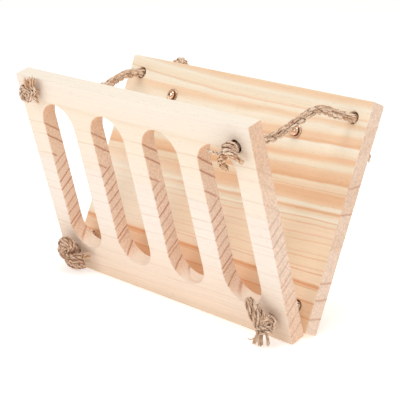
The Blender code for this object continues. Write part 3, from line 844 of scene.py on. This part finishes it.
def by_level(sh, level, stops):
    """A colour for each level in millimetres, from (level, colour) pairs."""
    factor = sh.times(level, 1 / LEVEL_SPAN)
    colour = None
    for first in range(0, len(stops), MOST_STOPS):
        part = stops[max(0, first - 1):first + MOST_STOPS]
        ramp = sh.ramp(factor, [(max(at, 0) / LEVEL_SPAN, srgb(*shade)) for at, shade in part])
        if colour is None:
            colour = ramp
        else:
            colour = sh.mix(sh.math("GREATER_THAN", level, part[0][0]), colour, ramp)
    return colour


def ring_lines(sh, height, lines, width):
    """1 on each ring line, fading above it, and 0 between the lines."""
    off, on = (0, 0, 0), (255, 255, 255)
    stops = [(0, off)]
    for at in lines:
        stops += [(at - width * 0.3, off), (at, on), (at + width, off)]
    return by_level(sh, height, stops)


def ringed(base, lines, line_shade, strength, width=1.0, broken=0.0, at_end=1.0):
    """Colours by board height with darker ring lines.

    With broken the lines come and go, and at_end is how much of them is left at the right end.
    """
    def colour(sh, height, x, z):
        plain = by_level(sh, z, base)
        patch = sh.noise(sh.vector(sh.times(x, 0.014), 3.1, sh.times(height, 0.16)), 2.0, 0.6)
        line = sh.times(ring_lines(sh, height, lines, width),
                        sh.between(patch, 0.42, 0.62, strength * (1 - broken), strength),
                        sh.between(x, 138, 146, 1.0, at_end))
        return sh.mix(line, plain, srgb(*line_shade))
    return colour


def banded(bands, painted_light_tint=None, painted_shade_tint=None):
    """Colours by ring height; on the left, painted light makes the part half way up paler and
    painted shade makes the bottom warmer.
    """
    def colour(sh, height, x, z):
        plain = by_level(sh, height, bands)
        if painted_light_tint is None:
            return plain
        # Painted light half way up on the left, and painted shade low on the left
        left = sh.between(x, 115, 66, smooth=True)
        painted_light_mask = sh.times(sh.between(x, -15, -80, 0.25, 0.80, smooth=True),
                        sh.between(z, 118, 92, smooth=True), left, sh.between(z, 40, 46))
        low = sh.times(sh.between(z, 42, 35, 0.0, 0.29), left)
        return sh.mix(low, sh.mix(painted_light_mask, plain, srgb(*painted_light_tint)), srgb(*painted_shade_tint))
    return colour


def lower_rings(sh, x, y, z):
    """Rings of the lower stave rise towards the inner face and a little to the right."""
    rise = sh.times(sh.plus(y, BOARD_THICKNESS / MM), 0.50)
    along = sh.times(sh.math("SINE", sh.linear(x, 0.0105, -0.16)), 4.5)
    return sh.minus(z, rise, along)


def upper_rings(sh, x, y, z):
    """Rings of the upper stave fall towards the inner face."""
    fall = sh.plus(y, BOARD_THICKNESS / MM)
    return sh.minus(sh.plus(z, fall), sh.linear(x, 0.040, -0.6))


PITH_HEIGHT, PITH_DEPTH = 196.0, 22.0
LEVEL_ABOVE = 180


def back_rings(sh, x, y, z):
    """Rings round a pith in front of the board's inner face; they bend up at the top left."""
    slope = sh.times(sh.between(z, 160, 184, 0.046, 0.0), sh.between(z, 42, 62))
    left = sh.math("MAXIMUM", sh.minus(20.0, x), 0.0)
    bend = sh.times(left, left, sh.between(z, 165, 182, 0, 3e-4))
    up = sh.minus(z, sh.times(sh.minus(x, 100.0), slope), bend, PITH_HEIGHT)
    out = sh.plus(y, PITH_DEPTH)
    radius = sh.math("SQRT", sh.plus(sh.times(up, up), sh.times(out, out)))
    return sh.mix(sh.between(z, LEVEL_ABOVE - 2, LEVEL_ABOVE + 1),
                  sh.minus(PITH_HEIGHT, radius), sh.plus(up, PITH_HEIGHT))


def on_inner_face(height):
    """The ring height where a ring of the back board meets the inner face at this height."""
    if height > LEVEL_ABOVE:
        return height
    return PITH_HEIGHT - math.hypot(PITH_HEIGHT - height, PITH_DEPTH)


def line_at(at, shade, around, width=0.9):
    """Stops for one thin line in a plain part of a board."""
    return [(at - width / 2, around), (at, shade), (at + width / 2, around)]


LOWER_LINES = [4, 14.5, 25, 35, 46.7, 51.5, 61.5, 70, 79.6, 88.6, 97, 106, 115, 124]
UPPER_LINES = [127.5, 147, 158.7]
END_LINE = (180, 102, 62)
# The lower stave's face darkens towards its bottom edge by board height: painted shade
PINE_LOWER = make_pine(
    "pine_lower_stave", lower_rings,
    ringed([(0, (234, 209, 184)), (16, (240, 218, 197)), (40, (243, 224, 206)),
            (60, (245, 231, 217)), (80, (245, 233, 221)), (120, (245, 232, 219))],
           LOWER_LINES, (222, 186, 158), 0.60, 1.1, broken=0.80),
    ringed([(0, (236, 200, 172)), (40, (238, 206, 182)), (80, (240, 214, 194)),
            (120, (240, 213, 192))], LOWER_LINES, END_LINE, 0.95, 1.8, broken=0.25,
           at_end=0.6),
    [HOLES["front_bottom_left"], HOLES["front_bottom_right"]], seed=2.3, hole_shade=1.0,
)
PINE_UPPER = make_pine(
    "pine_upper_stave", upper_rings,
    ringed([(118, (246, 230, 212)), (135, (245, 231, 214)), (150, (246, 230, 210)),
            (172, (245, 229, 209)), (176, (241, 222, 198)), (179, (245, 230, 212)),
            (190, (246, 232, 216)), (199, (247, 234, 219)), (200, (251, 241, 226))],
           UPPER_LINES, (218, 180, 144), 0.60, 1.4, broken=0.6),
    ringed([(118, (240, 212, 190)), (150, (237, 206, 180)), (165, (231, 194, 166)),
            (200, (233, 196, 168))], UPPER_LINES, END_LINE, 0.95, 2.3, broken=0.15,
           at_end=0.25),
    [HOLES["front_top_left"], HOLES["front_top_right"]], seed=7.9, streaks=0.03,
)

LIGHT, PALE, PEACH, ORANGE, DEEP = (
    (251, 241, 222), (249, 233, 208), (247, 222, 192), (245, 210, 175), (243, 199, 160)
)
THIN, BROWN = (236, 186, 144), (228, 164, 116)
SOFT = (249, 224, 196)
bands = [
    (0, ORANGE), (12, ORANGE), (13, BROWN), (14, ORANGE), (24.6, ORANGE), (25.6, BROWN),
    (26.6, SOFT), (36, PEACH), (36.6, BROWN), (37.4, PEACH), (38.4, BROWN), (40.2, THIN),
    (41.2, SOFT), *line_at(44, ORANGE, SOFT), *line_at(48.8, BROWN, SOFT),
    *line_at(52.6, BROWN, PEACH), *line_at(60, BROWN, PEACH), *line_at(63.4, BROWN, PEACH),
    *line_at(73, THIN, PEACH), *line_at(78.4, THIN, SOFT), *line_at(84.2, BROWN, SOFT),
    *line_at(87.4, THIN, SOFT), *line_at(91.6, THIN, PALE), (93.4, LIGHT), (97, PEACH),
    (98.6, THIN), (100, DEEP), (100.8, LIGHT), (102.8, LIGHT), (105, ORANGE), (109, DEEP),
    (115, DEEP), *line_at(117.2, THIN, PEACH), (121, PEACH), (123.2, PALE), (124.2, THIN),
    (128, DEEP), (134, ORANGE), (137, PALE), (139.6, PALE), (142, ORANGE), (144.4, DEEP),
    (147, PEACH), (150, PALE), (154, LIGHT), (155.6, LIGHT), (156.6, THIN), (160, ORANGE),
    (164, ORANGE), (167, PALE), (171, LIGHT), (174, PEACH), (176, ORANGE), (178.6, PALE),
    (181.2, LIGHT), (181.8, THIN), (182.4, PEACH), (184.6, PALE), (188, PALE), (191, LIGHT),
    (194, PEACH), (197, ORANGE), (200, PEACH),
]
GREY, TAN, DARK = (238, 211, 190), (232, 201, 177), (204, 156, 126)
PINE_BACK = make_pine(
    "pine_back_board", back_rings,
    # Tints for the painted light and the painted shade on the board's left part
    banded([(on_inner_face(at), shade) for at, shade in bands], painted_light_tint=(255, 243, 224),
           painted_shade_tint=(238, 168, 116)),
    banded([
        (0, GREY), (10.5, GREY), (11.5, DARK), (12.8, GREY), (26, GREY), (27, DARK), (28.5, GREY),
        (40.5, GREY), (41.5, DARK), (43, GREY), (66, GREY), (68, TAN), (96, GREY), (97, DARK),
        (98, TAN), (119, TAN), (120, DARK), (121, TAN), (140, GREY), (150, TAN), (152, GREY),
        (160, TAN), (162, GREY), (167, TAN), (169, GREY),
    ]),
    [at for place, at in HOLES.items() if side_of(place) == "back"], seed=14.1, hole_shade=0.8,
)

# --- boards
EDGE = 0.0012
EDGE_STEPS = 3
SAME_POINT = 2e-6
BOARD_CREASE = math.radians(35)
SLOT_COUNT = 4


def rounded_outline(middle_x, length, corner=0.0016, steps=5):
    outline = []
    for turn, (side_x, side_z) in enumerate(((1, 1), (-1, 1), (-1, -1), (1, -1))):
        centre_x = middle_x + side_x * (length / 2 - corner)
        centre_z = BOARD_HEIGHT / 2 + side_z * (BOARD_HEIGHT / 2 - corner)
        for step in range(steps + 1):
            angle = math.pi / 2 * (turn + step / steps)
            outline.append((centre_x + corner * math.cos(angle),
                            centre_z + corner * math.sin(angle)))
    return outline


def circle_outline(x, height, steps=48):
    angles = (TURN * step / steps for step in range(steps))
    radius = HOLE_DIAMETER / 2
    return [(x + radius * math.cos(a), height + radius * math.sin(a)) for a in angles]


def slot_outline(index, steps=56):
    radius = SLOT_WIDTH / 2
    ends = ((SLOT_ROW_TOP, SLOT_TOP - radius, 0), (SLOT_ROW_BOTTOM, SLOT_BOTTOM + radius, math.pi))
    outline = []
    for (middle, pitch), height, start in ends:
        x = middle + pitch * (index - (SLOT_COUNT - 1) / 2)
        for step in range(steps + 1):
            angle = start + math.pi * step / steps
            outline.append((x + radius * math.cos(angle), height + radius * math.sin(angle)))
    return outline


def board_mesh(name, side, outlines):
    """A flat board with eased edges all round, in its board's own frame."""
    curve = bpy.data.curves.new(name, "CURVE")
    curve.dimensions = "2D"
    curve.fill_mode = "BOTH"
    curve.extrude = BOARD_THICKNESS / 2 - EDGE
    curve.bevel_depth = EDGE
    curve.bevel_resolution = EDGE_STEPS
    curve.offset = -EDGE
    for outline in outlines:
        spline = curve.splines.new("POLY")
        spline.points.add(len(outline) - 1)
        for point, (x, height) in zip(spline.points, outline):
            point.co = (x, height, 0, 1)
        spline.use_cyclic_u = True
    obj = add_object(name, curve)
    mesh = evaluated_mesh(obj)
    bpy.data.objects.remove(obj, do_unlink=True)
    bm = bmesh.new()
    bm.from_mesh(mesh)
    bmesh.ops.remove_doubles(bm, verts=bm.verts, dist=SAME_POINT)
    middle = BOARD_THICKNESS / 2 * (-1 if side == "front" else 1)
    upright = Matrix.Translation((0, middle, 0)) @ Matrix.Rotation(math.radians(90), 4, "X")
    bmesh.ops.transform(bm, matrix=upright, verts=bm.verts)
    bmesh.ops.recalc_face_normals(bm, faces=bm.faces)
    return save_mesh(bm, mesh)


def stave(mesh, cut_height, keep_above):
    """The part of a board mesh above or below a height, closed along the cut."""
    part = mesh.copy()
    bm = bmesh.new()
    bm.from_mesh(part)
    geometry = bm.verts[:] + bm.edges[:] + bm.faces[:]
    cut = bmesh.ops.bisect_plane(
        bm, geom=geometry, plane_co=(0, 0, cut_height), plane_no=(0, 0, 1),
        clear_inner=keep_above, clear_outer=not keep_above,
    )
    edges = [item for item in cut["geom_cut"] if isinstance(item, bmesh.types.BMEdge)]
    bmesh.ops.holes_fill(bm, edges=edges, sides=0)
    bmesh.ops.recalc_face_normals(bm, faces=bm.faces)
    return save_mesh(bm, part)


def add_board(name, side, mesh, material, node):
    dress(mesh, material, BOARD_CREASE)
    obj = add_object(name, mesh)
    obj.matrix_world = FRAMES[side]
    normals = obj.modifiers.new("normals", "WEIGHTED_NORMAL")
    normals.keep_sharp = True
    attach(obj, side)
    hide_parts(node)


hole_outlines = {
    side: [circle_outline(*at) for place, at in HOLES.items() if side_of(place) == side]
    for side in ("front", "back")
}
whole = board_mesh("front_board", "front", [
    rounded_outline(FRONT_MIDDLE_X, FRONT_LENGTH),
    *(slot_outline(index) for index in range(SLOT_COUNT)), *hole_outlines["front"],
])
add_board("front_stave_upper", "front", stave(whole, SEAM_HEIGHT + SEAM_GAP / 2, True),
          PINE_UPPER, "front_plank_upper")
add_board("front_stave_lower", "front", stave(whole, SEAM_HEIGHT - SEAM_GAP / 2, False),
          PINE_LOWER, "front_plank_lower")
back_mesh = board_mesh("back_board", "back", [
    rounded_outline(0, BACK_LENGTH), *hole_outlines["back"],
])
add_board("back_board_pine", "back", back_mesh, PINE_BACK, "back_board")

# --- screws and washers


def make_zinc():
    """Yellow passivated zinc: pinkish gold with green patches, and painted shade in brown round
    the edge.
    """
    sh = Shader("yellow_zinc")
    place = sh.node("TexCoord")

    def vector_math(operation, source, vector):
        return sh.node("VectorMath", {0: place.outputs[source], 1: vector}, operation=operation)

    patches = sh.noise(
        vector_math("MULTIPLY", "Object", (620.0, 620.0, 620.0)).outputs[0], 1.0)
    scratches = sh.noise(
        vector_math("MULTIPLY", "Object", (900.0, 9000.0, 4000.0)).outputs[0], 2.0)
    colour = sh.ramp(patches, [
        (0.30, srgb(236, 178, 160)), (0.46, srgb(244, 200, 164)), (0.60, srgb(252, 226, 204)),
        (0.74, srgb(212, 206, 148)),
    ])
    # Painted shade: where the surface turns away from the axis, round the head and the washer's
    # rim, it goes brown
    outwards = vector_math("DOT_PRODUCT", "Normal", (0.0, 0.0, 1.0)).outputs["Value"]
    colour = sh.mix(sh.between(outwards, 0.72, 0.40, smooth=True), colour, srgb(132, 78, 42))
    sh.set(Base_Color=colour, Metallic=1.0, Roughness=sh.between(scratches, 0.3, 0.7, 0.20, 0.34))
    return sh.material


ZINC = make_zinc()
TURNED_STEPS = 64
METAL_CREASE = math.radians(32)
DOME_EDGE = 0.0003
DOME_STEPS = 14
THREAD_START = 0.0012
THREAD_STEP = 0.0005
THREAD_ROOT = 0.82
THREAD_STEPS = 16
HEAD_UNDERCUT = 0.97
WASHER_RIM = 0.00018
# The drive recess narrows to a share of its size
RECESS_SIZE = (0.0040, 0.0008, 0.0030)
RECESS_TAPER = 0.45
FIRST_TURN, NEXT_TURN = 0.4, 0.9


def turned(name, profile, closed):
    """A profile of (radius, height) points turned round the Z axis."""
    mesh = bpy.data.meshes.new(name)
    edges = [(i, i + 1) for i in range(len(profile) - 1)]
    if closed:
        edges.append((len(profile) - 1, 0))
    mesh.from_pydata([(radius, 0, height) for radius, height in profile], edges, [])
    obj = add_object(name, mesh)
    screw = obj.modifiers.new("turn", "SCREW")
    screw.axis = "Z"
    screw.steps = screw.render_steps = TURNED_STEPS
    screw.use_merge_vertices = True
    screw.merge_threshold = 1e-5
    return obj


def cross_cutter(name, top):
    """The tapered cross of a screw's drive recess."""
    bm = bmesh.new()
    for turn in (0, math.pi / 2):
        made = bmesh.ops.create_cube(bm, size=1, matrix=Matrix.Rotation(turn, 4, "Z")
                                     @ Matrix.Diagonal((*RECESS_SIZE, 1)))
        for vert in made["verts"]:
            if vert.co.z < 0:
                vert.co.x *= RECESS_TAPER
                vert.co.y *= RECESS_TAPER
            vert.co.z += top
    return add_object(name, save_mesh(bm, bpy.data.meshes.new(name)))


def bake_modifiers(obj):
    mesh = evaluated_mesh(obj)
    obj.modifiers.clear()
    obj.data = mesh


washer_top = TOUCH_GAP + WASHER_THICKNESS
head_base = washer_top + TOUCH_GAP
into_room = Matrix.Rotation(math.radians(90), 4, "X")
for number, (side, (x, height)) in enumerate(SCREW_PLACES.items()):
    angles = (math.radians(90) * step / DOME_STEPS for step in range(DOME_STEPS + 1))
    dome = [
        (HEAD_RADIUS * math.sin(angle),
         head_base + DOME_EDGE + (HEAD_HEIGHT - DOME_EDGE) * math.cos(angle))
        for angle in angles
    ]
    thread = [
        (SHANK_RADIUS * (THREAD_ROOT if step % 2 else 1.0),
         head_base - THREAD_START - THREAD_STEP * step)
        for step in range(THREAD_STEPS)
    ]
    screw = turned("screw_" + side + "_head", dome + [
        (HEAD_RADIUS * HEAD_UNDERCUT, head_base), (SHANK_RADIUS, head_base), *thread,
        (0, head_base - SHANK_LENGTH),
    ], closed=False)
    cutter = cross_cutter("recess", head_base + HEAD_HEIGHT)
    cut = screw.modifiers.new("recess", "BOOLEAN")
    cut.operation, cut.solver, cut.object = "DIFFERENCE", "EXACT", cutter
    cut.use_self = True
    bake_modifiers(screw)
    bpy.data.objects.remove(cutter, do_unlink=True)
    washer = turned("washer_" + side + "_ring", [
        (WASHER_RADIUS - WASHER_RIM, washer_top), (WASHER_RADIUS, washer_top - WASHER_RIM),
        (WASHER_RADIUS, TOUCH_GAP), (WASHER_HOLE_RADIUS, TOUCH_GAP),
        (WASHER_HOLE_RADIUS, washer_top - WASHER_RIM),
        (WASHER_HOLE_RADIUS + WASHER_RIM, washer_top),
    ], closed=True)
    bake_modifiers(washer)
    spin = Matrix.Rotation(FIRST_TURN + NEXT_TURN * number, 4, "Z")
    for obj, node in ((screw, "screw_" + side), (washer, "washer_" + side)):
        dress(obj.data, ZINC, METAL_CREASE)
        obj.matrix_world = FRAMES["back"] @ Matrix.Translation((x, 0, height)) @ into_room @ spin
        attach(obj, "back")
        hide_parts(node)

# --- floor, light
FLOOR_SIZE = 24.0
FLOOR_DROP = 0.0001
FLOOR_GREY = 0.92
FLOOR_GLOW = 0.42
WORLD_COLOUR = (1.0, 0.95, 0.89, 1)
WORLD_STRENGTH = 0.47
LIGHT_AIM = Vector((0, 0, 0.08))
bm = bmesh.new()
bmesh.ops.create_grid(bm, x_segments=1, y_segments=1, size=FLOOR_SIZE / 2)
floor_mesh = save_mesh(bm, bpy.data.meshes.new("floor"))
floor = add_object("floor", floor_mesh)
floor.location.z = -FLOOR_DROP
white = Shader("floor_white")
white.set(Base_Color=(FLOOR_GREY, FLOOR_GREY, FLOOR_GREY, 1), Roughness=0.9,
          Specular_IOR_Level=0.0, Emission_Color=(1, 1, 1, 1), Emission_Strength=FLOOR_GLOW)
floor_mesh.materials.append(white.material)

world = bpy.data.worlds.new("studio")
world.use_nodes = True
background = world.node_tree.nodes["Background"].inputs
background["Color"].default_value = WORLD_COLOUR
background["Strength"].default_value = WORLD_STRENGTH
scene.world = world
scene.view_settings.view_transform = "Standard"


def add_light(name, location, size, energy, colour=(1, 1, 1)):
    data = bpy.data.lights.new(name, "AREA")
    data.size = size
    data.energy = energy
    data.color = colour
    obj = add_object(name, data)
    obj.location = location
    obj.rotation_euler = (LIGHT_AIM - Vector(location)).to_track_quat("-Z", "Y").to_euler()


add_light("key", (-0.75, -1.9, 1.5), size=0.9, energy=9.8, colour=(0.955, 0.955, 1.0))
add_light("fill", (1.9, -0.9, 1.3), size=1.2, energy=8)
add_light("top", (0.1, 0.0, 2.4), size=1.4, energy=22)
